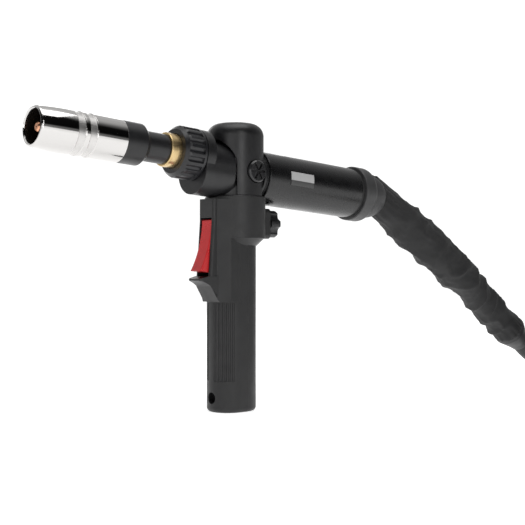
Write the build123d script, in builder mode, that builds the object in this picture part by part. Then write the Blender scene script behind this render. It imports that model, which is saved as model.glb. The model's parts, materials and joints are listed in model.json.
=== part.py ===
"""Push-pull MIG welding torch with a pistol grip, in-line drive motor and straight barrel.

Frame: origin at the centre of the grip's flat bottom, +Z up, +X rearwards to the cable, -Y the thumb side.
Head axes: u runs rearwards along the motor axis, v is +Y, w is up. u = v = w = 0 is where that axis
crosses the upright axis of the column.
"""

from build123d import *
import math
import os

os.makedirs("parts", exist_ok=True)

# ---- driving dimensions, mm ----
PITCH = 4.4  # the head's fall towards the rear, degrees
COLUMN_X = 3.4  # upright axis of the column
MOTOR_Z = 167.2  # height of the motor axis at the column
WIRE_W = 8.4  # the wire runs this far above the motor axis
FIT = 0.1  # gap between touching pieces of one body
APART = 0.35  # gap between pieces of different bodies
RUN_FIT = 0.05  # radial clearance of a running fit

GRIP_LONG, GRIP_WIDE, GRIP_WALL = 36.0, 30.0, 2.6
COLLAR_R, COLLAR_LOW, COLLAR_TOP = 21.45, 121.5, 151.0
SEAM_X, SEAM_TOP = 3.5, 116.4  # where the back cover meets the front shell
NOSE_TOP, LIP_X, LIP_Z = 148.6, -32.8, 92.6
TRIGGER_WIDE, TRIGGER_PIN_X, TRIGGER_PIN_Z = 12.0, -14.6, 130.6
KNOB_Z, KNOB_R, PAD_REAR = 132.4, 10.2, 28.6
SPIGOT_R, SPIGOT_LOW = 17.85, 144.0  # the head's foot in the grip's collar

HOOD_R, HOOD_WALL, HOOD_TOP = 20.2, 2.0, 202.5
BOSS_SIDE, BOSS_HIGH, BOSS_FRONT = 16.3, 19.0, -37.4
NECK_R = 17.0
TUBE_R, TUBE_BORE, TUBE_FRONT, TUBE_REAR = 19.05, 17.55, 17.2, 110.4
DECK_W = 4.6  # the flat that carries the drive rolls
SCREW_X, SCREW_Z = 6.6, 168.0  # pressure screw

ROLL_R, ROLL_V, IDLER_R, IDLER_V = 7.0, 7.0, 5.5, -6.15
PINION_W, PINION_R, CROWN_R = -3.25, 3.6, 8.6
PINION_TEETH, CROWN_TEETH = 8, 20
PIVOT_U, PIVOT_V = -8.8, -10.4  # pressure arm's pivot
MOTOR_R, MOTOR_FRONT, MOTOR_REAR = 9.5, 29.3, 98.0

NOZZLE_R, NOZZLE_FRONT, NOZZLE_REAR = 14.25, -160.0, -98.9
NUT_R, NUT_FRONT, NUT_RIBS = 18.0, -54.8, 18

# the hose leaves the motor tube, droops to the floor, runs into a coil and ends in a machine connector
SLEEVE_R, CABLE_R, PLUG_R = 14.25, 8.5, 22.6
SLEEVE_ROUTE = [(150, 0, 154.5), (205.9, 1.5, 122.9), (262, 5, 90.1), (306, 11, 63.7), (338.2, 15.5, 44.3)]
LEAD_ROUTE = [(360.3, 18.6, 31.0), (377.3, 20.7, 20.7), (394, 22.2, 13.6), (411, 22.4, 9.7), (432, 20.5, 8.6)]
TAIL_ROUTE = [(432, -192.5, 25.5), (406, -194.4, 24.4), (380, -193.8, 22.7), (356, -186.8, 22.7)]
COIL_X, COIL_Y, COIL_IN, COIL_OUT, COIL_HIGH = 432.0, -86.0, 63.0, 115.0, 34.0

SIN, COS = math.sin(math.radians(PITCH)), math.cos(math.radians(PITCH))
RUN, UP = Vector(COS, 0, -SIN), Vector(SIN, 0, COS)


# ---- places ----
def at(u, v=0.0, w=0.0):
    """A point of the head in the torch's frame."""
    return Vector(COLUMN_X, 0, MOTOR_Z) + RUN * u + Vector(0, v, 0) + UP * w


def across(u, v=0.0, w=0.0):
    """A plane square to the head's axis: sketch x is v, sketch y is w, and it faces rearwards."""
    return Plane(origin=at(u, v, w), x_dir=(0, 1, 0), z_dir=RUN)


def beside(v=0.0, w=0.0):
    """An upright plane along the head: sketch x is u, sketch y is w, and it faces -Y."""
    return Plane(origin=at(0, v, w), x_dir=RUN, z_dir=(0, -1, 0))


def level(w, u=0.0, v=0.0):
    """A plane along the deck: sketch x is u, sketch y is v, and it faces up."""
    return Plane(origin=at(u, v, w), x_dir=RUN, z_dir=UP)


def floor(z, x=0.0, y=0.0):
    """A horizontal plane of the torch's frame."""
    return Plane(origin=(x, y, z), x_dir=(1, 0, 0), z_dir=(0, 0, 1))


def side(y, x=0.0, z=0.0):
    """An upright plane of the torch's frame: sketch x is X, sketch y is Z, and it faces -Y."""
    return Plane(origin=(x, y, z), x_dir=(1, 0, 0), z_dir=(0, -1, 0))


def facing_back(x, y=0.0, z=0.0):
    """An upright plane square to X: sketch x is Y, sketch y is Z, and it faces +X."""
    return Plane(origin=(x, y, z), x_dir=(0, 1, 0), z_dir=(1, 0, 0))


WIRE_LINE = beside(w=WIRE_W)
MOTOR_LINE = beside()
GEAR_LINE = beside(ROLL_V, PINION_W)


def towards(start, end):
    """A plane at one point whose sketch x runs to another."""
    line = end - start
    return Plane(origin=start, x_dir=line, z_dir=line.cross(Vector(0, 0, 1)))


# ---- shapes used over and over ----
def turned(outline, plane, mode=Mode.ADD):
    """A turned shape: (along, radius) points on a plane, round that plane's x axis."""
    with BuildSketch(plane) as section:
        with BuildLine():
            Polyline(*outline, close=True)
        make_face()
    revolve(section.sketch, axis=Axis(plane.origin, plane.x_dir), mode=mode)


def pipe(start, end, r_out, plane, r_in=0.0, mode=Mode.ADD):
    turned([(start, r_in), (start, r_out), (end, r_out), (end, r_in)], plane, mode)


def post(plane, radius, length, mode=Mode.ADD):
    """A round bar that starts on a plane and stands along its normal."""
    with BuildSketch(plane) as section:
        Circle(radius)
    extrude(section.sketch, amount=length, mode=mode)


def block(plane, long, wide, high, mode=Mode.ADD):
    """A bar of rectangular section, centred on a plane's origin, that stands along its normal."""
    with BuildSketch(plane) as section:
        Rectangle(long, wide)
    extrude(section.sketch, amount=high, mode=mode)


def slot_bar(plane, long, wide, high, mode=Mode.ADD, turn=0):
    with BuildSketch(plane) as section:
        SlotOverall(long, wide, rotation=turn)
    extrude(section.sketch, amount=high, mode=mode)


def profile(plane, points, thick, mode=Mode.ADD):
    """A flat shape of straight edges, half of its thickness on each side of the plane."""
    with BuildSketch(plane) as section:
        with BuildLine():
            Polyline(*points, close=True)
        make_face()
    extrude(section.sketch, amount=thick / 2, both=True, mode=mode)


def coil_spring(plane, radius, wire, length, turns):
    """A coil spring with its axis along a plane's normal."""
    with BuildLine() as wind:
        Helix(length / turns, length, radius, center=plane.origin, direction=plane.z_dir)
    with BuildSketch(Plane(origin=wind.line @ 0, z_dir=wind.line % 0)) as section:
        Circle(wire / 2)
    sweep(section.sketch, path=wind.line, is_frenet=True)


def write(made, name):
    made.part.label = name
    export_step(made.part, f"parts/{name}.step")


# ---- barrel, from the nozzle's mouth rearwards ----
def build_nozzle_end():
    with BuildPart() as gas_nozzle:
        with BuildSketch(WIRE_LINE) as section:
            with BuildLine():
                Polyline(
                    (-138.0, NOZZLE_R), (-135.0, NOZZLE_R), (-134.4, 13.6), (-129.8, 13.6),
                    (-129.2, NOZZLE_R),
                    (-126.6, NOZZLE_R), (-126.0, 13.6), (-121.6, 13.6), (-121.0, NOZZLE_R),
                    (NOZZLE_REAR, NOZZLE_R), (NOZZLE_REAR, 12.1), (-119.0, 12.1), (-119.0, 11.0),
                    (-159.3, 11.0), (NOZZLE_FRONT, 11.6),
                )
                ThreePointArc((NOZZLE_FRONT, 11.6), (-159.5, 12.6), (-158.2, 13.1))
                ThreePointArc((-158.2, 13.1), (-149.0, 13.9), (-138.0, NOZZLE_R))
            make_face()
        revolve(section.sketch, axis=Axis(WIRE_LINE.origin, RUN))
    write(gas_nozzle, "gas_nozzle")

    with BuildPart() as contact_tip:
        turned([(-124.0, 0.6), (-124.0, 2.9), (-131.1, 2.9), (-131.1, 4.0), (-136.0, 4.0), (-138.0, 3.2),
                (-155.9, 3.2), (-156.9, 2.2), (-156.9, 0.6)], WIRE_LINE)
    write(contact_tip, "contact_tip")

    with BuildPart() as gas_diffuser:
        turned([(-130.8, 3.0), (-130.8, 6.2), (-127.0, 8.0), (-116.0, 8.0), (-116.0, 7.0), (-104.0, 7.0),
                (-104.0, 5.6), (-112.0, 5.6), (-112.0, 3.0)], WIRE_LINE)
        for turn in range(8):
            angle = turn * math.pi / 4
            spoke = Vector(0, math.cos(angle), 0) + UP * math.sin(angle)
            post(Plane(origin=at(-119.0, 0, WIRE_W) + spoke * 2, z_dir=spoke), 0.9, 7.0, Mode.SUBTRACT)
    write(gas_diffuser, "gas_diffuser")

    with BuildPart() as nozzle_insulator:
        turned([(-113.5, 7.1), (-113.5, 11.9), (-98.8, 11.9), (-98.8, 14.0), (-83.5, 14.0), (-79.5, 10.7),
                (-79.5, 7.1)], WIRE_LINE)
    write(nozzle_insulator, "nozzle_insulator")


def build_barrel():
    with BuildPart() as barrel_sleeve:
        pipe(-79.4, -62.9, 10.15, WIRE_LINE, r_in=6.1)
    write(barrel_sleeve, "barrel_sleeve")

    with BuildPart() as conductor_tube:
        turned([(-111.9, 2.4), (-111.9, 5.5), (-103.9, 5.5), (-103.9, 6.0), (-34.0, 6.0), (-34.0, 2.4)],
               WIRE_LINE)
    write(conductor_tube, "conductor_tube")

    with BuildPart() as barrel_adapter:
        turned([(-62.8, 6.1), (-62.8, 11.2), (-62.3, 11.65), (-52.0, 11.65), (-52.0, 10.6), (-50.0, 10.6),
                (-50.0, 12.8), (-47.0, 12.8), (-47.0, 9.0), (-31.5, 9.0), (-31.5, 6.1)], WIRE_LINE)
        for groove in (-43.0, -37.0):
            pipe(groove, groove + 2.4, 9.4, WIRE_LINE, 7.6, Mode.SUBTRACT)
    write(barrel_adapter, "barrel_adapter")

    with BuildPart() as barrel_seals:
        for groove in (-43.0, -37.0):
            with BuildSketch(WIRE_LINE) as ring:
                with Locations((groove + 1.2, 8.3)):
                    Circle(0.6)
            revolve(ring.sketch, axis=Axis(WIRE_LINE.origin, RUN))
    write(barrel_seals, "barrel_seals")

    with BuildPart() as barrel_liner:
        pipe(-122.8, -25.4, 1.9, WIRE_LINE, 0.8)
    write(barrel_liner, "barrel_liner")

    with BuildPart() as barrel_nut:
        turned([(NUT_FRONT, 12.0), (NUT_FRONT, 15.2), (-52.4, 17.4), (-51.0, NUT_R),
                (-38.4, NUT_R), (-37.7, 17.3), (-37.7, 13.5), (-50.35, 13.5), (-50.35, 12.0)], WIRE_LINE)
        with BuildSketch(across(-52.6, w=WIRE_W)) as flutes:
            with PolarLocations(NUT_R + 1.2, NUT_RIBS):
                Circle(2.4)
        extrude(flutes.sketch, amount=12.4, mode=Mode.SUBTRACT)
    write(barrel_nut, "barrel_nut")


# ---- head casting and cover ----
def set_screw_plane(radius):
    """Square to the tube's set screw, which points up and inwards from below."""
    angle = math.radians(72)
    inwards = Vector(0, math.cos(angle), 0) + UP * math.sin(angle)
    return Plane(origin=at(24.5) - inwards * radius, z_dir=inwards)


def build_head_body():
    with BuildPart() as head_body:
        slot_bar(across(BOSS_FRONT), 2 * BOSS_HIGH, 2 * BOSS_SIDE, -BOSS_FRONT, turn=90)
        pipe(BOSS_FRONT, -30.5, 17.7, WIRE_LINE)
        turned([(-46.6, 0), (-46.6, 12.6), (-46.1, 13.1), (-36.0, 13.1), (-36.0, 0)], WIRE_LINE)
        pipe(-2, TUBE_FRONT, NECK_R, MOTOR_LINE)
        pipe(TUBE_FRONT - 1, 29.0, TUBE_BORE - FIT, MOTOR_LINE)
        post(floor(SPIGOT_LOW, COLUMN_X), SPIGOT_R, 30.0)
        pipe(TUBE_FRONT, 40.0, 30.0, MOTOR_LINE, TUBE_BORE - FIT, Mode.SUBTRACT)
        # above the deck only the front and rear walls stand
        block(level(DECK_W), 25.0, 50.0, 40.0, Mode.SUBTRACT)
        # pockets for the crown gear, the pinion, the pressure arm and the pressure screw's pad
        post(level(-3.4, v=ROLL_V), 9.3, 20.0, Mode.SUBTRACT)
        post(across(4.6, ROLL_V, PINION_W), 4.2, 6.6, Mode.SUBTRACT)
        block(level(-4.6, v=-13.4), 24.6, 13.0, 20.0, Mode.SUBTRACT)
        block(level(-10.5, 1.0, -19.4), 26.0, 10.2, 30.0, Mode.SUBTRACT)
        # bores for the barrel, the wire guides, the roll shaft's bearings, the pinion and the arm's pivot
        post(across(-47.0, w=WIRE_W), 9.1, 16.4, Mode.SUBTRACT)
        post(across(-31.0, w=WIRE_W), 3.0, 25.0, Mode.SUBTRACT)
        post(across(10.0, w=WIRE_W), 3.0, 22.0, Mode.SUBTRACT)
        post(level(-15.2, v=ROLL_V), 4.5, 12.0, Mode.SUBTRACT)
        post(across(8.0, ROLL_V, PINION_W), 2.6, 25.0, Mode.SUBTRACT)
        post(level(-10.0, PIVOT_U, PIVOT_V), 1.5, 15.0, Mode.SUBTRACT)
        # sockets for the power lead and the gas line
        post(across(14.0, -8.5, -5.5), 4.1, 16.0, Mode.SUBTRACT)
        post(across(14.0, -9.0, 5.0), 2.6, 16.0, Mode.SUBTRACT)
        post(set_screw_plane(18.5), 1.9, 6.0, Mode.SUBTRACT)
        for y in (-12.5, 12.5):
            post(floor(SPIGOT_LOW - 1, COLUMN_X, y), 1.5, 7.0, Mode.SUBTRACT)
    write(head_body, "head_body")


def build_hood():
    screw_face = side(-12.0, SCREW_X, SCREW_Z)
    with BuildPart() as screw_pad:
        post(screw_face.offset(3.6), 9.8, 6.0)
        post(floor(COLLAR_TOP, COLUMN_X), HOOD_R, 40.0, Mode.INTERSECT)

    with BuildPart() as drive_hood:
        post(floor(COLLAR_TOP + APART, COLUMN_X), HOOD_R, HOOD_TOP - COLLAR_TOP - APART)
        fillet(drive_hood.edges().group_by(Axis.Z)[-1], radius=9.0)
        inside = HOOD_R - HOOD_WALL
        ceiling = HOOD_TOP - HOOD_WALL
        dome = Plane(origin=(COLUMN_X, 0, 0), x_dir=(0, 0, 1), z_dir=(0, 1, 0))
        turned([(COLLAR_TOP, 0), (COLLAR_TOP, inside), (ceiling - 7.0, inside), (ceiling - 2.1, inside - 2.1),
                (ceiling, inside - 7.0), (ceiling, 0)], dome, Mode.SUBTRACT)
        add(screw_pad.part)
        # arches over the barrel boss and over the neck, open below so that the hood lifts off
        slot_bar(across(-30.0), 2 * (BOSS_HIGH + 2.6), 2 * (BOSS_SIDE + 0.3), 29.0, Mode.SUBTRACT, 90)
        block(across(-30.0, w=-20.0), 2 * (BOSS_SIDE + 0.3), 50.0, 29.0, Mode.SUBTRACT)
        slot_bar(across(1.0, w=1.0), 38.0, 2 * (NECK_R + APART), 30.0, Mode.SUBTRACT, 90)
        block(across(1.0, w=-20.0), 2 * (NECK_R + APART), 50.0, 30.0, Mode.SUBTRACT)
        # recess and bore for the pressure screw
        post(screw_face.offset(5.4), 8.2, 12.0, Mode.SUBTRACT)
        post(screw_face, 4.6, 12.0, Mode.SUBTRACT)
    write(drive_hood, "drive_hood")

    with BuildPart() as pressure_screw:
        post(screw_face.offset(5.6), 7.7, 4.6)
        chamfer(pressure_screw.edges().group_by(Axis.Y)[0], length=0.9)
        for turn in (0, 60, 120):
            with BuildSketch(screw_face.offset(8.4)) as cross:
                SlotOverall(12.5, 1.8, rotation=turn)
            extrude(cross.sketch, amount=3.0, mode=Mode.SUBTRACT)
        post(screw_face.offset(3.6), 4.5, 2.2)
        post(screw_face.offset(3.6), 3.1, 3.9, Mode.SUBTRACT)
    write(pressure_screw, "pressure_screw")

    with BuildPart() as pressure_spring:
        coil_spring(screw_face.offset(2.3), 2.2, 0.8, 4.6, 3.5)
    write(pressure_spring, "pressure_spring")


# ---- wire drive ----
def build_rolls():
    with BuildPart() as roll_shaft:
        shaft = Plane(origin=at(0, ROLL_V), x_dir=UP, z_dir=(0, 1, 0))
        turned([(-15.1, 0), (-15.1, 2.0), (-3.3, 2.0), (-2.2, 2.6), (5.0, 2.6), (5.0, 2.0), (12.0, 2.0),
                (12.0, 0)],
               shaft)
    write(roll_shaft, "roll_shaft")

    with BuildPart() as shaft_bearings:
        for w in (-15.1, -6.5):
            turned([(w, 2.0 + RUN_FIT), (w, 4.45), (w + 3.0, 4.45), (w + 3.0, 2.0 + RUN_FIT)], shaft)
    write(shaft_bearings, "shaft_bearings")

    with BuildPart() as crown_gear:
        turned([(0.6, 2.7), (0.6, CROWN_R), (3.2, CROWN_R), (3.2, 4.5), (4.9, 4.5), (4.9, 2.7)], shaft)
        with BuildSketch(level(-0.75, v=ROLL_V)) as teeth:
            with PolarLocations(7.8, CROWN_TEETH, start_angle=180 / CROWN_TEETH):
                Rectangle(1.5, 0.6)
        extrude(teeth.sketch, amount=1.6)
    write(crown_gear, "crown_gear")

    with BuildPart() as drive_roll:
        turned([(5.1, 2.1), (5.1, ROLL_R), (7.9, ROLL_R), (8.4, ROLL_R - 0.4), (8.9, ROLL_R), (11.7, ROLL_R),
                (11.7, 2.1)], shaft)
        with BuildSketch(level(11.0, v=ROLL_V)) as holes:
            with PolarLocations(4.6, 3):
                Circle(0.9)
        extrude(holes.sketch, amount=2.0, mode=Mode.SUBTRACT)
    write(drive_roll, "drive_roll")

    with BuildPart() as roll_screw:
        turned([(12.1, 0), (12.1, 3.4), (13.6, 3.4), (14.4, 2.6), (14.4, 0)], shaft)
        with BuildSketch(level(13.4, v=ROLL_V)) as socket:
            RegularPolygon(1.5, 6)
        extrude(socket.sketch, amount=2.0, mode=Mode.SUBTRACT)
    write(roll_screw, "roll_screw")


def build_pressure_arm():
    with BuildPart() as pressure_arm:
        post(level(-4.2, PIVOT_U, PIVOT_V), 3.0, 16.6)
        with BuildSketch(level(-4.2)) as web:
            with BuildLine():
                Polyline((PIVOT_U, -13.4), (7.6, -13.4), (7.6, -12.0), (PIVOT_U, -12.0), close=True)
            make_face()
        extrude(web.sketch, amount=16.6)
        for w, thick in ((4.9, 0.8), (11.2, 1.2)):
            with BuildSketch(level(w)) as cheek:
                with BuildLine():
                    Polyline((-4.0, -13.0), (-4.0, IDLER_V), (4.0, IDLER_V), (4.0, -13.0), close=True)
                make_face()
                with Locations((0, IDLER_V)):
                    Circle(4.0)
            extrude(cheek.sketch, amount=thick)
        post(level(-5.0, PIVOT_U, PIVOT_V), 1.55, 20.0, Mode.SUBTRACT)
        post(level(4.0, 0, IDLER_V), 1.5, 10.0, Mode.SUBTRACT)
    write(pressure_arm, "pressure_arm")

    with BuildPart() as arm_pivot:
        post(level(-9.9, PIVOT_U, PIVOT_V), 1.5, 22.4)
        post(level(12.7, PIVOT_U, PIVOT_V), 2.4, 0.8)
        post(level(12.4, PIVOT_U, PIVOT_V), 1.5, 0.4)
    write(arm_pivot, "arm_pivot")

    with BuildPart() as idler_pin:
        post(level(4.9, 0, IDLER_V), 1.5, 7.5)
    write(idler_pin, "idler_pin")

    with BuildPart() as idler_roll:
        axle = Plane(origin=at(0, IDLER_V), x_dir=UP, z_dir=(0, 1, 0))
        turned([(6.0, 1.5 + RUN_FIT), (6.0, IDLER_R - 0.3), (6.3, IDLER_R), (10.5, IDLER_R),
                (10.8, IDLER_R - 0.3),
                (10.8, 1.5 + RUN_FIT)], axle)
    write(idler_roll, "idler_roll")


def build_wire_guides():
    with BuildPart() as inlet_guide:
        turned([(4.6, 0.6), (4.6, 1.2), (8.6, 2.9), (30.0, 2.9), (30.0, 0.9), (12.0, 0.6)], WIRE_LINE)
    write(inlet_guide, "inlet_guide")

    with BuildPart() as outlet_guide:
        turned([(-4.6, 0.6), (-4.6, 1.2), (-8.6, 2.9), (-25.0, 2.9), (-25.0, 0.6)], WIRE_LINE)
    write(outlet_guide, "outlet_guide")


def build_motor():
    with BuildPart() as drive_pinion:
        pipe(6.8, 8.8, 2.0, GEAR_LINE)
        with BuildSketch(across(6.8, ROLL_V, PINION_W)) as teeth:
            with PolarLocations((PINION_R + 1.6) / 2, PINION_TEETH):
                Trapezoid(0.9, PINION_R - 1.6, 84, rotation=-90)
        extrude(teeth.sketch, amount=2.0)
        pipe(8.8, 45.0, 1.5, GEAR_LINE)
    write(drive_pinion, "drive_pinion")

    with BuildPart() as pinion_bearings:
        for u in (12.0, 24.0):
            pipe(u, u + 3.0, 2.55, GEAR_LINE, 1.5 + RUN_FIT)
    write(pinion_bearings, "pinion_bearings")

    with BuildPart() as gearbox:
        turned([(MOTOR_FRONT, 1.5 + RUN_FIT), (MOTOR_FRONT, MOTOR_R), (52.0, MOTOR_R), (52.0, 0), (45.4, 0),
                (45.4, 1.5 + RUN_FIT)], GEAR_LINE)
        for groove in (34.0, 42.0):
            pipe(groove, groove + 1.2, MOTOR_R + 1, GEAR_LINE, MOTOR_R - 0.5, Mode.SUBTRACT)
    write(gearbox, "gearbox")

    with BuildPart() as drive_motor:
        turned([(52.1, 0), (52.1, MOTOR_R - 0.5), (94.0, MOTOR_R - 0.5), (94.0, 3.4), (MOTOR_REAR, 3.4),
                (MOTOR_REAR, 0)], GEAR_LINE)
        for v in (-5.4, 5.4):
            block(across(93.9, ROLL_V + v, PINION_W), 0.8, 2.8, 5.0)
    write(drive_motor, "drive_motor")


# ---- motor tube and the cable's entry ----
def build_tube():
    with BuildPart() as motor_tube:
        turned([(TUBE_FRONT + 0.1, TUBE_BORE), (TUBE_FRONT + 0.1, TUBE_R - 0.5), (TUBE_FRONT + 0.6, TUBE_R),
                (TUBE_REAR - 0.6, TUBE_R), (TUBE_REAR, TUBE_R - 0.6), (TUBE_REAR, TUBE_BORE)], MOTOR_LINE)
        post(set_screw_plane(21.0), 2.6, 5.0, Mode.SUBTRACT)
    write(motor_tube, "motor_tube")

    with BuildPart() as tube_set_screw:
        post(set_screw_plane(18.3), 1.85, 5.4)
        with BuildSketch(set_screw_plane(18.4)) as socket:
            RegularPolygon(1.1, 6)
        extrude(socket.sketch, amount=1.8, mode=Mode.SUBTRACT)
    write(tube_set_screw, "tube_set_screw")

    with BuildPart() as tube_badge:
        pipe(36.6, 58.6, TUBE_R + 0.35, MOTOR_LINE, TUBE_R + 0.02)
        block(across(35.0, -TUBE_R, 0.8), 20.0, 9.8, 25.0, Mode.INTERSECT)
    write(tube_badge, "tube_badge")

    with BuildPart() as tube_seal:
        pipe(TUBE_REAR + 0.1, 112.9, 18.4, MOTOR_LINE, TUBE_BORE)
    write(tube_seal, "tube_seal")

    with BuildPart() as rear_cap:
        with BuildSketch(MOTOR_LINE) as section:
            with BuildLine():
                Polyline((126.5, 17.2), (126.5, 14.4), (100.0, 14.4), (100.0, TUBE_BORE - FIT),
                         (113.0, TUBE_BORE - FIT), (113.0, 20.4), (113.6, 21.0), (121.0, 21.0))
                ThreePointArc((121.0, 21.0), (124.9, 19.8), (126.5, 17.2))
            make_face()
        revolve(section.sketch, axis=Axis(MOTOR_LINE.origin, RUN))
    write(rear_cap, "rear_cap")

    with BuildPart() as power_lead:
        pipe(14.2, 126.0, 4.0, beside(-8.5, -5.5))
    write(power_lead, "power_lead")

    with BuildPart() as gas_line:
        pipe(14.2, 126.0, 2.5, beside(-9.0, 5.0), 1.4)
    write(gas_line, "gas_line")

    with BuildPart() as wire_conduit:
        pipe(30.2, 126.0, 2.7, WIRE_LINE, 1.2)
    write(wire_conduit, "wire_conduit")


# ---- grip ----
NOSE_FRONT = -22.4
TRIGGER_GAP_LOW, TRIGGER_GAP_HIGH = 95.1, 135.4
WEB_LOW, WEB_HIGH = 140.9, 143.9  # the floor in the collar that the head stands on
PANEL_LOW, PANEL_HIGH = 22.0, 76.5  # grooved panels


def build_nose():
    """The trigger housing ahead of the collar: a side view cut by a plan view."""
    with BuildPart() as nose:
        profile(side(0), [(-17.9, 77.0), (4.0, 77.0), (4.0, NOSE_TOP), (NOSE_FRONT, NOSE_TOP),
                          (NOSE_FRONT, 133.0), (-25.2, 95.0), (-24.6, 88.0)], 60.0)
        with BuildSketch(floor(60.0)) as plan:
            with BuildLine():
                Polyline((6.0, 14.9), (-12.0, 14.9), (-19.4, 8.6), (-60.0, 8.6), (-60.0, -8.6), (-19.4, -8.6),
                         (-12.0, -14.9), (6.0, -14.9), close=True)
            make_face()
        extrude(plan.sketch, amount=120.0, mode=Mode.INTERSECT)
        front = nose.edges().filter_by(lambda edge: edge.center().X < NOSE_FRONT + 0.1 and edge.length > 10
                                       and abs(abs(edge.center().Y) - 8.6) < 0.1)
        fillet(front, radius=2.0)
    return nose


def build_lip():
    """The pointed rest for the finger under the trigger."""
    with BuildPart() as lip:
        with BuildSketch(side(0)) as view:
            with BuildLine():
                Polyline((-17.9, 77.0), (-12.0, 77.0), (-12.0, TRIGGER_GAP_LOW), (-25.2, TRIGGER_GAP_LOW),
                         (LIP_X, LIP_Z + 0.6), (LIP_X, LIP_Z - 0.6))
                ThreePointArc((LIP_X, LIP_Z - 0.6), (-23.4, 87.0), (-17.9, 77.0))
            make_face()
        extrude(view.sketch, amount=30.0, both=True)
        with BuildSketch(floor(60.0)) as plan:
            with BuildLine():
                Polyline((-10.0, 12.0), (-18.0, 9.5), (LIP_X - 0.5, 7.0), (LIP_X - 0.5, -7.0), (-18.0, -9.5),
                         (-10.0, -12.0), close=True)
            make_face()
            fillet(plan.vertices().group_by(Axis.X)[0], radius=3.5)
        extrude(plan.sketch, amount=60.0, mode=Mode.INTERSECT)
    return lip


def build_grip_outside():
    nose, lip = build_nose(), build_lip()
    with BuildPart() as outside:
        slot_bar(floor(0), GRIP_LONG, GRIP_WIDE, COLLAR_LOW)
        fillet(outside.edges().group_by(Axis.Z)[0], radius=2.8)
        post(floor(COLLAR_LOW, COLUMN_X), COLLAR_R, COLLAR_TOP - COLLAR_LOW)
        block(facing_back(14.0, 0, (COLLAR_LOW + 143.2) / 2), 18.4, 143.2 - COLLAR_LOW, PAD_REAR - 14.0)
        fillet(outside.edges().filter_by(Axis.X), radius=3.0)
        chamfer(outside.edges().group_by(Axis.Z)[-1], length=0.8)
        upright = Plane(origin=(COLUMN_X, 0, 0), x_dir=(0, 0, 1), z_dir=(0, 1, 0))
        turned([(SEAM_TOP, 0), (SEAM_TOP, 15.2), (COLLAR_LOW, COLLAR_R - 1.0), (COLLAR_LOW, 0)], upright)
        add(nose.part)
        add(lip.part)
        # thumb and finger panels of upright grooves, either side of a smooth spine
        with BuildSketch(floor(PANEL_LOW)) as grooves:
            for first in (114, 193):
                with Locations((-(GRIP_LONG - GRIP_WIDE) / 2, 0)):
                    with PolarLocations(GRIP_WIDE / 2 + 0.5, 6, start_angle=first, angular_range=53,
                                        endpoint=True):
                        Circle(1.1)
        extrude(grooves.sketch, amount=PANEL_HIGH - PANEL_LOW, mode=Mode.SUBTRACT)
        # room for the head's boss, neck and tube, which lie low across the collar
        slot_bar(across(-60.0), 2 * BOSS_HIGH + 0.6, 2 * BOSS_SIDE + 0.6, 60.0, Mode.SUBTRACT, 90)
        post(across(-1.0), NECK_R + 0.3, 20.0, Mode.SUBTRACT)
        post(across(TUBE_FRONT - 0.3), TUBE_R + 0.3, 30.0, Mode.SUBTRACT)
    return outside


def build_grip_inside():
    """The hollows of the grip."""
    with BuildPart() as inside:
        slot_bar(floor(GRIP_WALL), GRIP_LONG - 2 * GRIP_WALL, GRIP_WIDE - 2 * GRIP_WALL, 120.0 - GRIP_WALL)
        post(floor(119.9, COLUMN_X), 17.5, WEB_LOW - 119.9)
        post(floor(WEB_LOW - 0.1, COLUMN_X), 9.5, 5.0)
        post(floor(WEB_HIGH, COLUMN_X), SPIGOT_R + FIT, 20.0)
        for y in (-12.5, 12.5):
            post(floor(WEB_LOW - 0.1, COLUMN_X, y), 1.6, 5.0)
        # the trigger's slot, and the bore of its pin
        with BuildSketch(side(0)) as slot:
            with BuildLine():
                Polyline((-45.0, TRIGGER_GAP_LOW), (-10.0, TRIGGER_GAP_LOW), (-10.0, TRIGGER_GAP_HIGH),
                         (-45.0, TRIGGER_GAP_HIGH), close=True)
            make_face()
        extrude(slot.sketch, amount=TRIGGER_WIDE / 2 + APART, both=True)
        post(side(9.0, TRIGGER_PIN_X, TRIGGER_PIN_Z), 1.5, 18.0)
        # the speed control's bushing
        post(facing_back(18.0, 0, KNOB_Z), 3.5, 20.0)
    return inside


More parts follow.
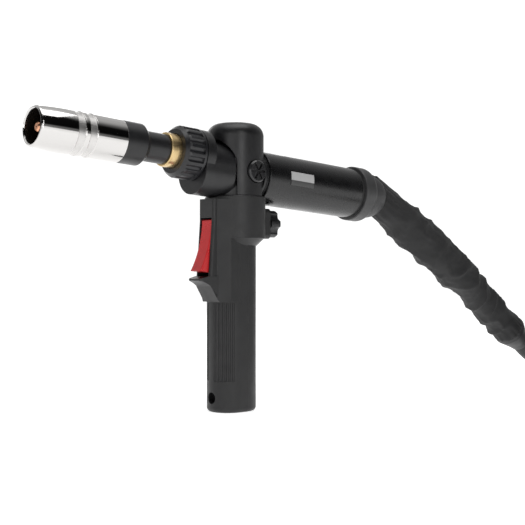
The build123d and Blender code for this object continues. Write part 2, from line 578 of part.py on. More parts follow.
def build_grip():
    outside, inside = build_grip_outside(), build_grip_inside()
    with BuildPart() as grip_front:
        add(outside.part)
        add(inside.part, mode=Mode.SUBTRACT)
        block(floor(-1.0, SEAM_X + 30.0), 60.0 - FIT, 60.0, SEAM_TOP + 1.0, Mode.SUBTRACT)
        post(facing_back(-16.5, 0, 10.0), 5.4, 14.5)
        post(facing_back(-20.0, 0, 10.0), 4.0, 12.0, Mode.SUBTRACT)
        post(facing_back(-9.0, 0, 10.0), 1.6, 10.0, Mode.SUBTRACT)
        for z in (109.0, 121.0):
            post(side(-3.4, -7.0, z), 2.4, 9.6)
            post(side(-3.0, -7.0, z), 0.95, 6.0, Mode.SUBTRACT)
    write(grip_front, "grip_front")

    with BuildPart() as grip_back:
        add(outside.part)
        add(inside.part, mode=Mode.SUBTRACT)
        block(floor(-1.0, SEAM_X - 30.0), 60.0 + FIT, 60.0, 200.0, Mode.SUBTRACT)
        block(floor(SEAM_TOP - FIT), 80.0, 60.0, 60.0, Mode.SUBTRACT)
        post(facing_back(-1.9, 0, 10.0), 4.0, 18.0)
        post(facing_back(-2.0, 0, 10.0), 1.5, 12.0, Mode.SUBTRACT)
        # the tongue that hooks behind the collar
        block(floor(104.0, 14.4), 2.2, 8.0, 8.0)
        block(floor(104.0, 13.7), 1.6, 8.0, 16.5)
    write(grip_back, "grip_back")

    with BuildPart() as grip_screw:
        turned([(-11.0, 0), (-11.0, 2.6), (-10.4, 3.1), (-8.0, 3.1), (-8.0, 1.5), (9.5, 1.5), (9.5, 0)],
               Plane(origin=(0, 0, 10.0), x_dir=(1, 0, 0), z_dir=(0, -1, 0)))
        with BuildSketch(facing_back(-11.0, 0, 10.0)) as cross:
            Rectangle(3.6, 0.8)
            Rectangle(0.8, 3.6)
        extrude(cross.sketch, amount=1.4, mode=Mode.SUBTRACT)
    write(grip_screw, "grip_screw")

    with BuildPart() as head_screws:
        for y in (-12.5, 12.5):
            upright = Plane(origin=(COLUMN_X, y, 0), x_dir=(0, 0, 1), z_dir=(0, 1, 0))
            turned([(WEB_LOW - 2.4, 0), (WEB_LOW - 2.4, 2.8), (WEB_LOW, 2.8), (WEB_LOW, 1.5), (149.8, 1.5),
                    (149.8, 0)], upright)
    write(head_screws, "head_screws")


def build_trigger():
    with BuildPart() as trigger:
        with BuildSketch(side(0)) as view:
            with BuildLine():
                Polyline((-31.8, 98.6), (-24.0, 97.4), (-18.6, 99.0), (-17.6, 124.0), (-11.8, 127.0),
                         (-11.8, 133.4), (-13.0, 134.4), (-20.6, 134.4), (-21.8, 133.6))
                ThreePointArc((-21.8, 133.6), (-24.6, 115.4), (-31.8, 98.6))
            make_face()
        extrude(view.sketch, amount=TRIGGER_WIDE / 2, both=True)
        fillet(trigger.edges().filter_by(GeomType.CIRCLE), radius=1.0)
        post(side(9.0, TRIGGER_PIN_X, TRIGGER_PIN_Z), 1.5 + RUN_FIT, 18.0, Mode.SUBTRACT)
        post(side(2.6, TRIGGER_PIN_X, TRIGGER_PIN_Z), 3.1, 5.2, Mode.SUBTRACT)
        block(side(2.6, TRIGGER_PIN_X + 3.0, TRIGGER_PIN_Z), 6.0, 6.2, 5.2, Mode.SUBTRACT)
    write(trigger, "trigger")

    with BuildPart() as trigger_pin:
        post(side(8.9, TRIGGER_PIN_X, TRIGGER_PIN_Z), 1.5, 17.8)
    write(trigger_pin, "trigger_pin")

    with BuildPart() as trigger_spring:
        coil_spring(side(2.0, TRIGGER_PIN_X, TRIGGER_PIN_Z), 2.3, 0.7, 4.0, 4)
    write(trigger_spring, "trigger_spring")

    switch_x = -12.2
    plunger = facing_back(TRIGGER_PIN_X - 2.6, 0, TRIGGER_PIN_Z - 10.0)
    with BuildPart() as microswitch:
        block(facing_back(switch_x, 0, 115.0), 6.6, 20.0, 9.6)
        block(plunger, 2.6, 3.2, 10.0, Mode.SUBTRACT)
        for z in (109.0, 121.0):
            post(side(4.0, -7.0, z), 1.1, 8.0, Mode.SUBTRACT)
        for z in (107.0, 115.0, 123.0):
            block(facing_back(switch_x + 9.5, 0, z), 3.0, 0.6, 3.6)
    write(microswitch, "microswitch")

    with BuildPart() as switch_plunger:
        block(plunger, 2.4, 3.0, 6.4)
    write(switch_plunger, "switch_plunger")

    with BuildPart() as switch_screws:
        for z in (109.0, 121.0):
            post(side(4.8, -7.0, z), 1.8, 1.5)
            post(side(3.4, -7.0, z), 0.9, 11.0)
    write(switch_screws, "switch_screws")


def build_speed_control():
    knob_line = Plane(origin=(0, 0, KNOB_Z), x_dir=(1, 0, 0), z_dir=(0, -1, 0))
    with BuildPart() as potentiometer:
        turned([(10.4, 3.0 + RUN_FIT), (10.4, 7.6), (18.4, 7.6), (18.4, 3.5), (PAD_REAR + 2.0, 3.5),
                (PAD_REAR + 2.0, 3.0 + RUN_FIT)], knob_line)
        for y in (-4.0, 0, 4.0):
            block(floor(121.0, 14.0, y), 1.2, 0.6, 5.0)
    write(potentiometer, "potentiometer")

    with BuildPart() as pot_nut:
        with BuildSketch(facing_back(PAD_REAR, 0, KNOB_Z)) as hexagon:
            RegularPolygon(5.4, 6)
            Circle(3.5, mode=Mode.SUBTRACT)
        extrude(hexagon.sketch, amount=1.6)
    write(pot_nut, "pot_nut")

    with BuildPart() as pot_shaft:
        pipe(11.0, 36.6, 3.0, knob_line)
    write(pot_shaft, "pot_shaft")

    with BuildPart() as speed_knob:
        post(facing_back(PAD_REAR + 0.6, 0, KNOB_Z), KNOB_R, 8.9)
        with BuildSketch(facing_back(PAD_REAR + 0.6, 0, KNOB_Z)) as hollows:
            with PolarLocations(KNOB_R + 2.4, 6, start_angle=30):
                Circle(4.2)
        extrude(hollows.sketch, amount=10.0, mode=Mode.SUBTRACT)
        chamfer(speed_knob.edges().group_by(Axis.X)[-1], length=0.9)
        post(facing_back(PAD_REAR + 0.5, 0, KNOB_Z), 6.2, 2.2, Mode.SUBTRACT)
        post(facing_back(PAD_REAR, 0, KNOB_Z), 3.0, 8.0, Mode.SUBTRACT)
    write(speed_knob, "speed_knob")


# ---- hose, coil and machine connector ----
def hose(name, points, radius):
    """A round hose along straight runs joined by arcs as large as the runs allow."""
    places = [Vector(*point) for point in points]
    radii = []
    for before, corner, after in zip(places, places[1:], places[2:]):
        run_in, run_out = corner - before, after - corner
        half_turn = math.radians(run_in.get_angle(run_out)) / 2
        radii.append(0.45 * min(run_in.length, run_out.length) / math.tan(half_turn))
    print(name, "radii, mm:", [round(r) for r in radii])
    with BuildLine() as path:
        FilletPolyline(*places, radius=radii)
    with BuildSketch(Plane(origin=path.line @ 0, z_dir=path.line % 0)) as section:
        Circle(radius)
    sweep(section.sketch, path=path.line)
    length = path.wires()[0].length
    print(name, "length, mm:", round(length, 1))
    return math.pi * radius ** 2 * length


def build_hose():
    with BuildPart() as cable_boot:
        with BuildSketch(MOTOR_LINE) as section:
            with BuildLine():
                Polyline((146.0, 0), (126.6, 0), (126.6, 17.1), (129.0, 17.1))
                ThreePointArc((129.0, 17.1), (138.8, 15.0), (144.6, 9.6))
                Line((144.6, 9.6), (146.0, 0))
            make_face()
        revolve(section.sketch, axis=Axis(MOTOR_LINE.origin, RUN))
        start = Vector(*SLEEVE_ROUTE[0])
        heading = (Vector(*SLEEVE_ROUTE[1]) - start).normalized()
        post(Plane(origin=start, z_dir=heading * -1), 12.4, 15.0)
        post(Plane(origin=start, z_dir=heading), 40.0, 20.0, Mode.SUBTRACT)
    write(cable_boot, "cable_boot")

    with BuildPart() as cable_sleeve:
        volume = hose("cable_sleeve", SLEEVE_ROUTE, SLEEVE_R)
    share = cable_sleeve.part.volume / volume
    print("cable_sleeve volume against its section times length:", round(share, 4))
    write(cable_sleeve, "cable_sleeve")

    with BuildPart() as sleeve_cuff:
        end, start = Vector(*SLEEVE_ROUTE[-1]), Vector(*LEAD_ROUTE[0])
        length = (start - end).length
        turned([(0, 0), (0, SLEEVE_R), (4.0, SLEEVE_R + 0.6), (length - 8.0, 11.0), (length, CABLE_R + 0.8),
                (length, 0)], towards(end, start))
    write(sleeve_cuff, "sleeve_cuff")

    with BuildPart() as cable_lead:
        volume = hose("cable_lead", LEAD_ROUTE, CABLE_R)
    print("cable_lead volume against its section times length:", round(cable_lead.part.volume / volume, 4))
    write(cable_lead, "cable_lead")

    with BuildPart() as cable_coil:
        upright = Plane(origin=(COIL_X, COIL_Y, 0), x_dir=(0, 0, 1), z_dir=(0, 1, 0))
        pipe(0, COIL_HIGH, COIL_OUT, upright, COIL_IN)
    write(cable_coil, "cable_coil")

    with BuildPart() as cable_tail:
        volume = hose("cable_tail", TAIL_ROUTE, CABLE_R)
    print("cable_tail volume against its section times length:", round(cable_tail.part.volume / volume, 4))
    write(cable_tail, "cable_tail")


def build_connector():
    end, before = Vector(*TAIL_ROUTE[-1]), Vector(*TAIL_ROUTE[-2])
    plug_line = towards(end, end * 2 - before)
    plug_face = Plane(origin=end, x_dir=(0, 0, 1), z_dir=end - before)
    with BuildPart() as connector_body:
        turned([(0, 0), (0, 11.0), (26.0, 13.5), (28.0, 18.5), (58.0, 18.5), (58.0, 20.0), (61.0, 20.0),
                (61.0, 18.0), (84.0, 18.0), (84.0, 0)], plug_line)
        post(plug_face.offset(60.0), 4.5, 30.0, Mode.SUBTRACT)
        with BuildSketch(plug_face.offset(74.0)) as sockets:
            with Locations((-11.0, 4.0), (-11.0, -4.0)):
                Circle(1.5)
        extrude(sockets.sketch, amount=12.0, mode=Mode.SUBTRACT)
    write(connector_body, "connector_body")

    with BuildPart() as connector_nut:
        turned([(48.0, 18.85), (48.0, PLUG_R - 0.8), (48.8, PLUG_R), (75.2, PLUG_R), (76.0, PLUG_R - 0.8),
                (76.0, 20.4), (57.6, 20.4), (57.6, 18.85)], plug_line)
        with BuildSketch(plug_face.offset(51.0)) as grips:
            with PolarLocations(PLUG_R + 1.0, 20):
                Circle(1.8)
        extrude(grips.sketch, amount=20.0, mode=Mode.SUBTRACT)
    write(connector_nut, "connector_nut")

    with BuildPart() as connector_pins:
        turned([(60.1, 0.8), (60.1, 4.4), (84.1, 4.4), (84.1, 5.0), (106.0, 5.0), (107.0, 4.0), (107.0, 0.8)],
               plug_line)
        with BuildSketch(plug_face.offset(74.0)) as pins:
            with Locations((-11.0, 4.0), (-11.0, -4.0)):
                Circle(1.5)
        extrude(pins.sketch, amount=18.0)
    write(connector_pins, "connector_pins")


build_nozzle_end()
build_barrel()
build_head_body()
build_hood()
build_rolls()
build_pressure_arm()
build_wire_guides()
build_motor()
build_tube()
build_grip()
build_trigger()
build_speed_control()
build_hose()
build_connector()
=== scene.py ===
"""Looks of the push-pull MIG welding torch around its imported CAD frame.

Metres, in the torch's frame: origin at the grip's flat bottom, +Z up, +X rearwards to the hose,
-Y the near side.
"""
import bmesh
import bpy
import json
import math
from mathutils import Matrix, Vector, noise


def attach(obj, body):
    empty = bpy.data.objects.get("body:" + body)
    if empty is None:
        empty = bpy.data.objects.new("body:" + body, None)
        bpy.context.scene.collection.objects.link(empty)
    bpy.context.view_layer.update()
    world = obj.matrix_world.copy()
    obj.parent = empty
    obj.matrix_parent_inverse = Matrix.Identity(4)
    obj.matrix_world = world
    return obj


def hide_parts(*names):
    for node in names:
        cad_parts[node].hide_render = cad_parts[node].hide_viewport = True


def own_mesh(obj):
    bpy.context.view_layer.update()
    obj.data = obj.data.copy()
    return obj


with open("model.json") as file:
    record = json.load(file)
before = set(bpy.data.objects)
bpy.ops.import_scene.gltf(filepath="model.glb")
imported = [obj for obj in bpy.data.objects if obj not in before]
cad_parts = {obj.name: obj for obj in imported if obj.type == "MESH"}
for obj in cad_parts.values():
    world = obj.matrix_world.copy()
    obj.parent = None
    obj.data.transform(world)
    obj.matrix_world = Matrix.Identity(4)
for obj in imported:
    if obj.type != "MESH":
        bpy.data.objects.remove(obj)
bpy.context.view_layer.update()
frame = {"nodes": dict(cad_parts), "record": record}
MM = 0.001

# ---- the head's axes: u rearwards along the motor, v is +Y, w up ----
PITCH = math.radians(4.4)
HEAD = Vector((3.4, 0, 167.2)) * MM
RUN = Vector((math.cos(PITCH), 0, -math.sin(PITCH)))
SIDE = Vector((0, 1, 0))
UP = Vector((math.sin(PITCH), 0, math.cos(PITCH)))
WIRE_W = 8.4  # mm, the wire above the motor axis


def at(u, v=0.0, w=0.0):
    """A point of the head, from millimetres along its own axes."""
    return HEAD + (RUN * u + SIDE * v + UP * w) * MM


def depth(u):
    """How far a plane across the head reaches along it, in metres, from millimetres along the motor."""
    return HEAD.dot(RUN) + u * MM


# ---- routes of the hose, as in the CAD source ----
SLEEVE_R, CABLE_R = 0.01425, 0.0085
FOLD_SEED = 5  # fixes the sleeve's folds, which otherwise differ from run to run
SLEEVE_ROUTE = [(0.150, 0, 0.1545), (0.2059, 0.0015, 0.1229), (0.262, 0.005, 0.0901), (0.306, 0.011, 0.0637),
                (0.3382, 0.0155, 0.0443)]
LEAD_ROUTE = [(0.3603, 0.0186, 0.0310), (0.3773, 0.0207, 0.0207), (0.394, 0.0222, 0.0136),
              (0.411, 0.0224, 0.0097), (0.432, 0.0205, 0.0086)]
TAIL_ROUTE = [(0.432, -0.1925, 0.0255), (0.406, -0.1944, 0.0244), (0.380, -0.1938, 0.0227),
              (0.356, -0.1868, 0.0227)]
COIL_CENTRE = Vector((0.432, -0.086, 0))
COIL_TURNS, STEPS_PER_TURN = 4.5, 20
COIL_INNER, COIL_OUTER = 0.0715, 0.1065  # radii of the innermost and outermost turns
CLIMB_START, CLIMB_END = 2.05, 2.45  # turns at which the hose climbs to the upper layer


# the nozzle's finish: the radii or depths between which one look gives way to the next
BORE_EDGE = 0.0112, 0.0116
RIM_DEPTH = depth(-158.6), depth(-158.0)
TAPER_END = depth(-138.0), depth(-137.0)
GROOVE_FLOOR = 0.0137, 0.0140
GROOVE_DULLNESS, SOOT_ROUGHNESS = 0.32, 0.55


# ---- node trees ----
class Tree:
    """A node tree, with short ways to add what most of them need."""

    def __init__(self, tree):
        self.nodes, self.links = tree.nodes, tree.links

    def ramp(self, value, stops):
        """Turns a value into colours; stops are (position, colour or grey)."""
        node = self.nodes.new("ShaderNodeValToRGB")
        ramp = node.color_ramp
        while len(ramp.elements) < len(stops):
            ramp.elements.new(0.5)
        for element, (position, colour) in zip(ramp.elements, stops):
            element.position = position
            element.color = (*colour, 1) if hasattr(colour, "__len__") else (colour, colour, colour, 1)
        self.links.new(value, node.inputs["Fac"])
        return node.outputs["Color"]

    def spread(self, value, low, high, start=0.3, end=0.7):
        node = self.nodes.new("ShaderNodeMapRange")
        for name, number in (("From Min", start), ("From Max", end), ("To Min", low), ("To Max", high)):
            node.inputs[name].default_value = number
        self.links.new(value, node.inputs["Value"])
        return node.outputs["Result"]

    def along(self, vector, direction):
        """How far a vector reaches in a direction."""
        node = self.nodes.new("ShaderNodeVectorMath")
        node.operation = "DOT_PRODUCT"
        node.inputs[1].default_value = direction
        self.links.new(vector, node.inputs[0])
        return node.outputs["Value"]

    def blend(self, share, first, second):
        node = self.nodes.new("ShaderNodeMix")
        node.data_type = "RGBA"
        for name, socket in (("Factor", share), ("A", first), ("B", second)):
            inputs = [found for found in node.inputs if found.name == name and found.enabled]
            self.links.new(socket, inputs[0])
        return next(found for found in node.outputs if found.enabled)


class Surface(Tree):
    """A material's node tree."""

    def __init__(self, name, colour, roughness, metallic=0.0):
        self.material = bpy.data.materials.new(name)
        self.material.use_nodes = True
        super().__init__(self.material.node_tree)
        self.shader = self.nodes["Principled BSDF"]
        self.shader.inputs["Base Color"].default_value = (*colour, 1)
        self.shader.inputs["Roughness"].default_value = roughness
        self.shader.inputs["Metallic"].default_value = metallic
        self.place = self.nodes.new("ShaderNodeTexCoord").outputs["Object"]
        self.normal = None

    def stretched(self, scale):
        mapping = self.nodes.new("ShaderNodeMapping")
        mapping.inputs["Scale"].default_value = scale
        self.links.new(self.place, mapping.inputs["Vector"])
        return mapping.outputs["Vector"]

    def noise(self, scale, detail=3.0, roughness=0.5, vector=None):
        texture = self.nodes.new("ShaderNodeTexNoise")
        texture.inputs["Scale"].default_value = scale
        texture.inputs["Detail"].default_value = detail
        texture.inputs["Roughness"].default_value = roughness
        self.links.new(vector or self.place, texture.inputs["Vector"])
        return texture.outputs["Fac"]

    def colour(self, socket):
        self.links.new(socket, self.shader.inputs["Base Color"])

    def rough(self, socket):
        self.links.new(socket, self.shader.inputs["Roughness"])

    def round_edges(self, radius):
        bevel = self.nodes.new("ShaderNodeBevel")
        bevel.samples = 4
        bevel.inputs["Radius"].default_value = radius
        self.normal = bevel.outputs["Normal"]
        self.links.new(self.normal, self.shader.inputs["Normal"])

    def bump(self, height, strength, distance):
        node = self.nodes.new("ShaderNodeBump")
        node.inputs["Strength"].default_value = strength
        node.inputs["Distance"].default_value = distance
        self.links.new(height, node.inputs["Height"])
        if self.normal:
            self.links.new(self.normal, node.inputs["Normal"])
        self.normal = node.outputs["Normal"]
        self.links.new(self.normal, self.shader.inputs["Normal"])


# ---- materials ----
def moulded(name, dark, light, roughness, grain=1500, depth=0.00005, strength=0.35, edge=0.0004):
    """Moulded plastic or a coated casting: fine grain, faint handling marks, softened edges."""
    surface = Surface(name, dark, roughness)
    patches = surface.noise(38, 4)
    surface.colour(surface.ramp(patches, [(0.35, dark), (0.7, light)]))
    surface.rough(surface.spread(surface.noise(120, 5, 0.6), roughness - 0.06, roughness + 0.07))
    surface.round_edges(edge)
    surface.bump(surface.noise(grain, 2), strength, depth)
    return surface.material


def metal(name, colour, shade, roughness, grain_scale, depth=0.00002, edge=0.0003):
    """Machined or drawn metal with a grain along one direction."""
    surface = Surface(name, colour, roughness, 1.0)
    grain = surface.noise(400, 4, 0.6, surface.stretched(grain_scale))
    surface.colour(surface.ramp(grain, [(0.3, shade), (0.65, colour)]))
    surface.rough(surface.spread(surface.noise(60, 4), roughness * 0.7, roughness * 1.4))
    surface.round_edges(edge)
    surface.bump(grain, 0.3, depth)
    return surface.material


def chrome():
    """Bright plate outside, with a faint wipe along it; the bore is dull and sooted by the arc."""
    plate, soot = (0.63, 0.618, 0.605), (0.03, 0.024, 0.02)
    surface = Surface("chrome_plate", plate, 0.06, 1.0)
    into_head = surface.nodes.new("ShaderNodeMapping")
    into_head.vector_type = "TEXTURE"
    into_head.inputs["Location"].default_value = at(0, 0, WIRE_W)
    into_head.inputs["Rotation"].default_value = (0, PITCH, 0)
    surface.links.new(surface.place, into_head.inputs["Vector"])
    flat = surface.nodes.new("ShaderNodeVectorMath")
    flat.operation = "MULTIPLY"
    flat.inputs[1].default_value = (0, 1, 1)
    surface.links.new(into_head.outputs["Vector"], flat.inputs[0])
    radius = surface.nodes.new("ShaderNodeVectorMath")
    radius.operation = "LENGTH"
    surface.links.new(flat.outputs["Vector"], radius.inputs[0])
    along_head = surface.along(surface.place, RUN)
    mouth = surface.nodes.new("ShaderNodeMath")
    mouth.operation = "MAXIMUM"
    past_bore = surface.spread(radius.outputs["Value"], 0, 1, *BORE_EDGE)
    surface.links.new(past_bore, mouth.inputs[0])
    surface.links.new(surface.spread(along_head, 1, 0, *RIM_DEPTH), mouth.inputs[1])
    outside = mouth.outputs["Value"]
    surface.colour(surface.ramp(outside, [(0.0, soot), (1.0, plate)]))
    wiped = surface.spread(surface.noise(90, 4), 0.03, 0.10)
    behind_taper = surface.spread(along_head, 0, GROOVE_DULLNESS, *TAPER_END)
    in_groove = surface.nodes.new("ShaderNodeMath")
    in_groove.operation = "MULTIPLY_ADD"
    surface.links.new(surface.spread(radius.outputs["Value"], 1, 0, *GROOVE_FLOOR), in_groove.inputs[0])
    surface.links.new(behind_taper, in_groove.inputs[1])
    surface.links.new(wiped, in_groove.inputs[2])
    finish = surface.nodes.new("ShaderNodeMix")
    finish.inputs["A"].default_value = SOOT_ROUGHNESS
    surface.links.new(outside, finish.inputs["Factor"])
    surface.links.new(in_groove.outputs["Value"], finish.inputs["B"])
    surface.rough(finish.outputs["Result"])
    surface.round_edges(0.0003)
    surface.bump(surface.noise(160, 3, 0.5, surface.stretched((0.25, 1, 1))), 0.05, 0.0001)
    return surface.material


def badge():
    """Two-tone label: a light band above a darker one, both plain."""
    surface = Surface("badge", (0.4, 0.4, 0.4), 0.35)
    middle = HEAD.dot(UP)
    upper = surface.spread(surface.along(surface.place, UP), 0, 1, middle - 0.6 * MM, middle - 0.2 * MM)
    surface.colour(surface.ramp(upper, [(0.0, 0.05), (1.0, 0.42)]))
    surface.round_edges(0.0002)
    return surface.material


def fabric():
    """Loose woven nylon: a fine plain weave in the cloth, slightly faded on the folds."""
    surface = Surface("woven_cover", (0.012, 0.012, 0.013), 0.8)
    surface.shader.inputs["Sheen Weight"].default_value = 0.04
    surface.shader.inputs["Sheen Roughness"].default_value = 0.5
    weft = surface.nodes.new("ShaderNodeTexWave")
    weft.inputs["Scale"].default_value = 320
    surface.links.new(surface.place, weft.inputs["Vector"])
    warp = surface.nodes.new("ShaderNodeTexWave")
    warp.bands_direction = "Z"
    warp.inputs["Scale"].default_value = 320
    surface.links.new(surface.place, warp.inputs["Vector"])
    weave = surface.nodes.new("ShaderNodeMath")
    weave.operation = "MULTIPLY"
    surface.links.new(weft.outputs["Fac"], weave.inputs[0])
    surface.links.new(warp.outputs["Fac"], weave.inputs[1])
    fresh, faded = (0.006, 0.006, 0.0065), (0.013, 0.013, 0.0135)
    surface.colour(surface.ramp(surface.noise(45, 5), [(0.35, fresh), (0.7, faded)]))
    surface.bump(weave.outputs[0], 0.35, 0.0002)
    return surface.material


MATERIALS = {
    "chrome_plated": chrome(),
    "copper": metal("tip_copper", (0.8, 0.42, 0.26), (0.55, 0.25, 0.14), 0.28, (0.2, 1, 1)),
    "brass": metal("turned_brass", (0.72, 0.55, 0.3), (0.58, 0.42, 0.2), 0.3, (1, 0.1, 0.1)),
    "insulator_black": moulded("insulator", (0.006, 0.006, 0.0065), (0.01, 0.01, 0.011), 0.36),
    "copper_tube": metal("drawn_copper", (0.75, 0.4, 0.25), (0.5, 0.24, 0.13), 0.35, (0.1, 1, 1)),
    "seal_rubber": moulded("seal", (0.012, 0.012, 0.012), (0.02, 0.02, 0.02), 0.6),
    "liner_nylon": moulded("liner", (0.6, 0.59, 0.55), (0.7, 0.69, 0.65), 0.5),
    "nut_black": moulded("nut", (0.006, 0.006, 0.0075), (0.011, 0.011, 0.013), 0.34, 1800),
    "housing_black": moulded("housing", (0.006, 0.006, 0.0065), (0.011, 0.011, 0.012), 0.38, 2200),
    "steel": metal("machined_steel", (0.62, 0.62, 0.64), (0.4, 0.4, 0.42), 0.3, (1, 0.2, 0.2)),
    "zinc_cast": metal("cast_zinc", (0.5, 0.5, 0.52), (0.4, 0.4, 0.42), 0.45, (1, 1, 1)),
    "gear_nylon": moulded("acetal", (0.62, 0.6, 0.54), (0.7, 0.68, 0.62), 0.45),
    "screw_black": moulded("black_screw", (0.012, 0.012, 0.013), (0.02, 0.02, 0.021), 0.2, 900, 0.00002, 0.2),
    "tube_anodised": moulded("anodised", (0.004, 0.004, 0.0045), (0.008, 0.008, 0.0085), 0.26, 2600),
    "badge_grey": badge(),
    "motor_steel": metal("motor_can", (0.5, 0.5, 0.52), (0.4, 0.4, 0.42), 0.35, (0.2, 1, 1)),
    "cap_plastic": moulded("cap", (0.03, 0.03, 0.031), (0.045, 0.045, 0.046), 0.45, 1400),
    "boot_rubber": moulded("boot", (0.03, 0.03, 0.031), (0.045, 0.045, 0.046), 0.5, 1200),
    "gas_hose": moulded("gas_hose", (0.03, 0.03, 0.035), (0.04, 0.04, 0.045), 0.4),
    "grip_black": moulded("grip", (0.008, 0.008, 0.0085), (0.013, 0.013, 0.0135), 0.46, 1500, 0.00008, 0.45),
    "trigger_red": moulded("trigger", (0.48, 0.012, 0.015), (0.62, 0.024, 0.026), 0.3, 1400, 0.00003, 0.3),
    "switch_plastic": moulded("switch", (0.04, 0.04, 0.04), (0.05, 0.05, 0.05), 0.5),
    "knob_black": moulded("knob", (0.008, 0.008, 0.0085), (0.014, 0.014, 0.015), 0.36, 1600),
    "sleeve_fabric": fabric(),
    "cable_rubber": moulded("hose_rubber", (0.011, 0.011, 0.011), (0.018, 0.018, 0.018), 0.55, 800),
    "connector_plastic": moulded("connector", (0.009, 0.009, 0.009), (0.015, 0.015, 0.0155), 0.42),
}


def dress_nodes():
    for entry in frame["record"]["subparts"]:
        node = frame["nodes"][entry["node"]]
        node.data.materials.clear()
        node.data.materials.append(MATERIALS[entry["material_slot"]])


# ---- mesh helpers ----
def new_object(name, mesh, slot, body):
    piece = bpy.data.objects.new(name, mesh)
    bpy.context.scene.collection.objects.link(piece)
    mesh.materials.append(MATERIALS[slot])
    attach(piece, body)
    return piece


def smooth_line(route):
    """The NURBS line with a route's points as its control points, as a list of points in metres."""
    curve = bpy.data.curves.new("line", "CURVE")
    curve.dimensions = "3D"
    curve.resolution_u = 24
    add_route(curve, route)
    carrier = bpy.data.objects.new("line", curve)
    bpy.context.scene.collection.objects.link(carrier)
    bpy.context.view_layer.update()
    mesh = bpy.data.meshes.new_from_object(carrier)
    points = [vertex.co.copy() for vertex in mesh.vertices]
    bpy.data.objects.remove(carrier)
    bpy.data.meshes.remove(mesh)
    return points


def add_route(curve, route):
    spline = curve.splines.new("NURBS")
    spline.points.add(len(route) - 1)
    for point, place in zip(spline.points, route):
        point.co = (*place, 1)
    spline.order_u = 3
    spline.use_endpoint_u = True


# ---- hose ----
def ease(value, start, end):
    """0 before start, 1 after end, and smooth between."""
    share = min(max((value - start) / (end - start), 0), 1)
    return share * share * (3 - 2 * share)


def coil_point(turns):
    """Where the hose is after some turns: a spiral inwards on the floor, then one outwards on top of it."""
    before, after = max(1 - turns / CLIMB_START, 0), max((turns - CLIMB_END) / (COIL_TURNS - CLIMB_END), 0)
    radius = COIL_INNER + (COIL_OUTER - COIL_INNER) * (before + after)
    control_polygon = 1 / (0.75 + 0.25 * math.cos(math.tau / STEPS_PER_TURN))
    angle = math.pi / 2 - math.tau * turns
    height = CABLE_R * (1.01 + 2 * ease(turns, CLIMB_START, CLIMB_END))
    reach = radius * control_polygon
    return COIL_CENTRE + Vector((reach * math.cos(angle), reach * math.sin(angle), height))


def make_hose():
    steps = int(COIL_TURNS * STEPS_PER_TURN)
    coil = [coil_point(step / STEPS_PER_TURN) for step in range(1, steps)]
    curve = bpy.data.curves.new("hose", "CURVE")
    curve.dimensions = "3D"
    curve.resolution_u = 6
    curve.bevel_depth = CABLE_R
    curve.bevel_resolution = 7
    curve.use_fill_caps = True
    add_route(curve, LEAD_ROUTE + coil + TAIL_ROUTE)
    hose = new_object("hose", curve, "cable_rubber", "handle")
    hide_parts("cable_lead", "cable_coil", "cable_tail")


def crease(place, angle, along):
    """Height of the cover's folds at a point: slanting creases, sharp in the valleys, over broad slack."""
    around = Vector((along * 16, math.cos(angle) * 0.9, math.sin(angle) * 0.9))
    slack = noise.noise(around + Vector((3.1, 0.4, 7.7)))
    bent = place + noise.noise_vector(place * 22) * 0.012
    ridged = 1 - abs(noise.noise(bent * 46))
    small = 1 - abs(noise.noise(bent * 105 + Vector((5, 2, 9))))
    return 0.0019 * slack + 0.0030 * (ridged ** 3 - 0.6) + 0.0009 * (small ** 3 - 0.6)


def make_sleeve():
    """The loose fabric cover, tied over the boot, baggy in the middle and gathered into the cuff."""
    line = smooth_line(SLEEVE_ROUTE)
    tail = [line[0] - (line[1] - line[0]).normalized() * step for step in (0.016, 0.012, 0.008, 0.004)]
    along = [-0.016, -0.012, -0.008, -0.004, 0.0]
    for before, after in zip(line, line[1:]):
        along.append(along[-1] + (after - before).length)
    whole = along[-1]
    places = tail + line
    around = 96
    noise.seed_set(FOLD_SEED)
    bm = bmesh.new()
    rings = []
    across = Vector((0, -1, 0))
    for index, (centre, reach) in enumerate(zip(places, along)):
        heading = (places[min(index + 1, len(places) - 1)] - places[max(index - 1, 0)]).normalized()
        across = (across - heading * across.dot(heading)).normalized()
        upward = across.cross(heading)
        tied = 1 - ease(reach, -0.004, 0.030)
        cuffed = ease(reach, whole - 0.018, whole)
        size = SLEEVE_R + 0.0022 * ease(reach, 0.0, 0.055) * (1 - ease(reach, 0.09, 0.15))
        size += (0.0132 - size) * tied + (SLEEVE_R + 0.0004 - size) * cuffed
        loose = 1 - 0.8 * max(tied, cuffed)
        ring = []
        for step in range(around):
            angle = math.tau * step / around
            out = across * math.cos(angle) + upward * math.sin(angle)
            gathers = 0.0004 * math.cos(17 * angle + 2 * math.sin(3 * angle)) * (1 - loose)
            height = crease(centre + out * size, angle, reach) * loose + gathers
            ring.append(bm.verts.new(centre + out * (size + height)))
        rings.append(ring)
    for first, second in zip(rings, rings[1:]):
        for step in range(around):
            after = (step + 1) % around
            bm.faces.new((first[step], second[step], second[after], first[after]))
    mesh = bpy.data.meshes.new("fabric_sleeve")
    bmesh.ops.recalc_face_normals(bm, faces=bm.faces)
    bm.to_mesh(mesh)
    bm.free()
    mesh.shade_smooth()
    sleeve = new_object("fabric_sleeve", mesh, "sleeve_fabric", "handle")
    thickness = sleeve.modifiers.new("cloth", "SOLIDIFY")
    thickness.thickness = 0.0006
    thickness.offset = -1
    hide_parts("cable_sleeve")


# ---- studio ----
NEAR_SIDE = (-0.643, -0.766, 0)
TRAILING_SIDE = (0.766, -0.643, 0)  # at the hose's end, where the room is dimmer


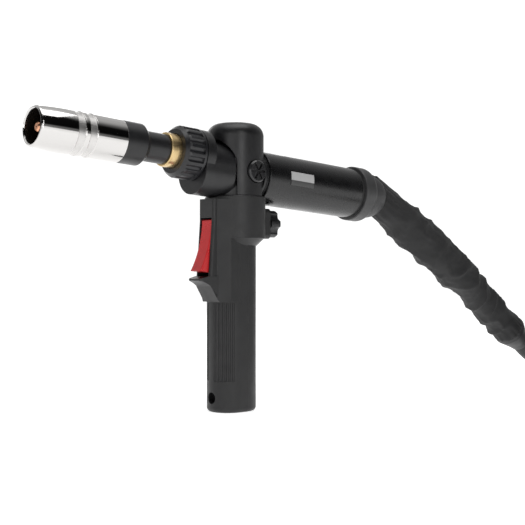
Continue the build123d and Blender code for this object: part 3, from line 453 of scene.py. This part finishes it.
def make_camera():
    camera = bpy.data.objects.new("camera", bpy.data.cameras.new("camera"))
    bpy.context.scene.collection.objects.link(camera)
    camera.location = (-0.4558, -0.5774, 0.1027)
    camera.rotation_euler = (math.pi / 2, 0, math.radians(-40))
    camera.data.sensor_width = 36
    camera.data.lens = 71.3
    camera.data.shift_y = 0.0048
    camera.data.clip_start = 0.01
    bpy.context.scene.camera = camera


def area_light(name, place, target, size, power):
    light = bpy.data.lights.new(name, "AREA")
    light.shape = "RECTANGLE"
    light.size, light.size_y = size
    light.energy = power
    lamp = bpy.data.objects.new(name, light)
    bpy.context.scene.collection.objects.link(lamp)
    lamp.location = place
    lamp.rotation_euler = (Vector(target) - Vector(place)).to_track_quat("-Z", "Y").to_euler()


def make_world():
    """White where it is seen directly; reflections come from a bright room, dark on the near side."""
    world = bpy.data.worlds.new("studio")
    world.use_nodes = True
    tree = Tree(world.node_tree)
    room = tree.nodes["Background"]
    backdrop = tree.nodes.new("ShaderNodeBackground")
    backdrop.inputs["Color"].default_value = (1, 1, 1, 1)
    backdrop.inputs["Strength"].default_value = 1.1
    direction = tree.nodes.new("ShaderNodeTexCoord").outputs["Generated"]
    height = tree.spread(tree.along(direction, (0, 0, 1)), 0, 1, -1, 1)
    near_side = tree.ramp(height, [(0.0, 0.5), (0.55, 0.5), (0.6, 0.01), (0.88, 0.01), (0.94, 0.9),
                                   (1.0, 0.9)])
    far_side = tree.ramp(height, [(0.0, 0.6), (0.9, 0.6), (0.95, 0.9)])
    nearness = tree.spread(tree.along(direction, NEAR_SIDE), 0, 1, -0.3, 0.05)
    tree.links.new(tree.blend(nearness, far_side, near_side), room.inputs["Color"])
    tree.links.new(tree.spread(tree.along(direction, TRAILING_SIDE), 1.0, 0.35, 0.2, 0.9),
                   room.inputs["Strength"])
    mix = tree.nodes.new("ShaderNodeMixShader")
    tree.links.new(tree.nodes.new("ShaderNodeLightPath").outputs["Is Camera Ray"], mix.inputs["Fac"])
    tree.links.new(room.outputs["Background"], mix.inputs[1])
    tree.links.new(backdrop.outputs["Background"], mix.inputs[2])
    tree.links.new(mix.outputs["Shader"], tree.nodes["World Output"].inputs["Surface"])
    bpy.context.scene.world = world
    bpy.context.scene.view_settings.view_transform = "Standard"


def make_studio():
    make_world()
    mesh = bpy.data.meshes.new("floor")
    reach = 6.0
    mesh.from_pydata([(-reach, -reach, 0), (reach, -reach, 0), (reach, reach, 0), (-reach, reach, 0)], [],
                     [(0, 1, 2, 3)])
    floor = bpy.data.objects.new("floor", mesh)
    bpy.context.scene.collection.objects.link(floor)
    surface = Surface("pale_floor", (0.75, 0.75, 0.75), 0.9)
    surface.shader.inputs["Emission Color"].default_value = (1, 1, 1, 1)
    surface.shader.inputs["Emission Strength"].default_value = 0.75
    mesh.materials.append(surface.material)
    target = (0.05, 0, 0.12)
    area_light("overhead", (0.0, -0.2, 1.6), target, (1.5, 1.0), 9)
    area_light("front", (-1.3, -0.9, 0.35), target, (0.8, 0.4), 1.5)
    area_light("back", (0.6, 1.2, 0.7), target, (1.0, 0.5), 2.5)
    area_light("strip", (-0.25, -1.17, 0.35), target, (0.25, 0.9), 2.5)


make_camera()
dress_nodes()
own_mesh(frame["nodes"]["pressure_spring"])
make_hose()
make_sleeve()
make_studio()
